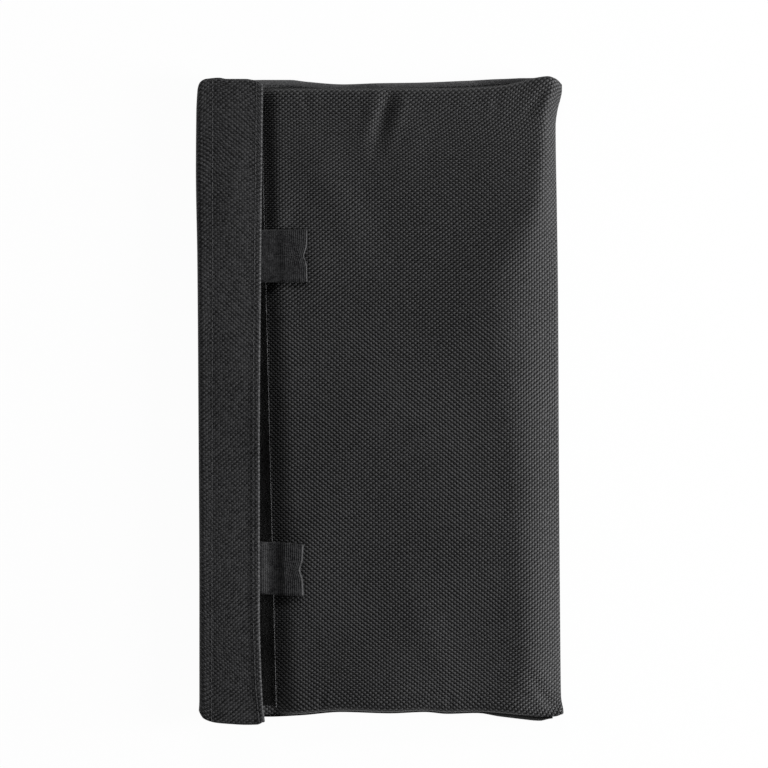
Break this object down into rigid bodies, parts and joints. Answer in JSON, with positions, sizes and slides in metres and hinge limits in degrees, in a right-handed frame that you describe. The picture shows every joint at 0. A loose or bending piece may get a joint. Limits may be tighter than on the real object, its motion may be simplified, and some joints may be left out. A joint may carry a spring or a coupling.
{
  "type": "lipo safe bag",
  "caption": "Flat fire-resistant cloth pouch with a lined pocket, bound side seams, a wrap-over hook-and-loop flap along its mouth and ribbon pull tabs on the flap.",
  "frame": {"origin": "middle of the underside, on the surface that the pouch lies on", "axes": "+Z out of the front face, +Y along the mouth, +X from the flap's fold to the bottom fold"},
  "size_m": [0.178, 0.3148, 0.0151],
  "materials": {
    "woven_cloth": "coated plain weave, matte with a dull sheen on the yarn crowns",
    "liner_cloth": "glass-fibre cloth, dull satin",
    "facing_cloth": "plain lining cloth, matte",
    "binding_tape": "folded woven tape, satin",
    "hook_tape": "moulded hooks on woven tape",
    "loop_tape": "brushed loop pile, very matte",
    "ribbon": "ribbed ribbon, satin"
  },
  "bodies": {
    "bag": {"pouch_cloth": "woven_cloth", "pouch_liner": "liner_cloth", "side_binding_upper": "binding_tape", "side_binding_lower": "binding_tape", "loop_tape": "loop_tape"},
    "flap_spine": {"flap_spine": "woven_cloth"},
    "flap": {"flap_cloth": "woven_cloth", "flap_facing": "facing_cloth", "hook_tape": "hook_tape", "upper_tab_root": "ribbon", "lower_tab_root": "ribbon"},
    "upper_tab": {"upper_pull_tab": "ribbon"},
    "lower_tab": {"lower_pull_tab": "ribbon"}
  },
  "joints": [
    {"name": "flap_spine_fold", "type": "hinge", "parent": "bag", "child": "flap_spine", "pos_m": [-0.089, 0, 0], "axis": [0, -1, 0], "range_deg": [0, 90]},
    {"name": "flap_fold", "type": "hinge", "parent": "flap_spine", "child": "flap", "pos_m": [-0.089, 0, 0.0151], "axis": [0, -1, 0], "range_deg": [0, 90]},
    {"name": "upper_tab_lift", "type": "hinge", "parent": "flap", "child": "upper_tab", "pos_m": [-0.0585, 0.07, 0.0133], "axis": [0, 1, 0], "range_deg": [-90, 0]},
    {"name": "lower_tab_lift", "type": "hinge", "parent": "flap", "child": "lower_tab", "pos_m": [-0.0585, -0.082, 0.0133], "axis": [0, 1, 0], "range_deg": [-90, 0]}
  ],
  "couplings": [
    {"joint": "flap_spine_fold", "follows": "flap_fold", "ratio": 1}
  ]
}
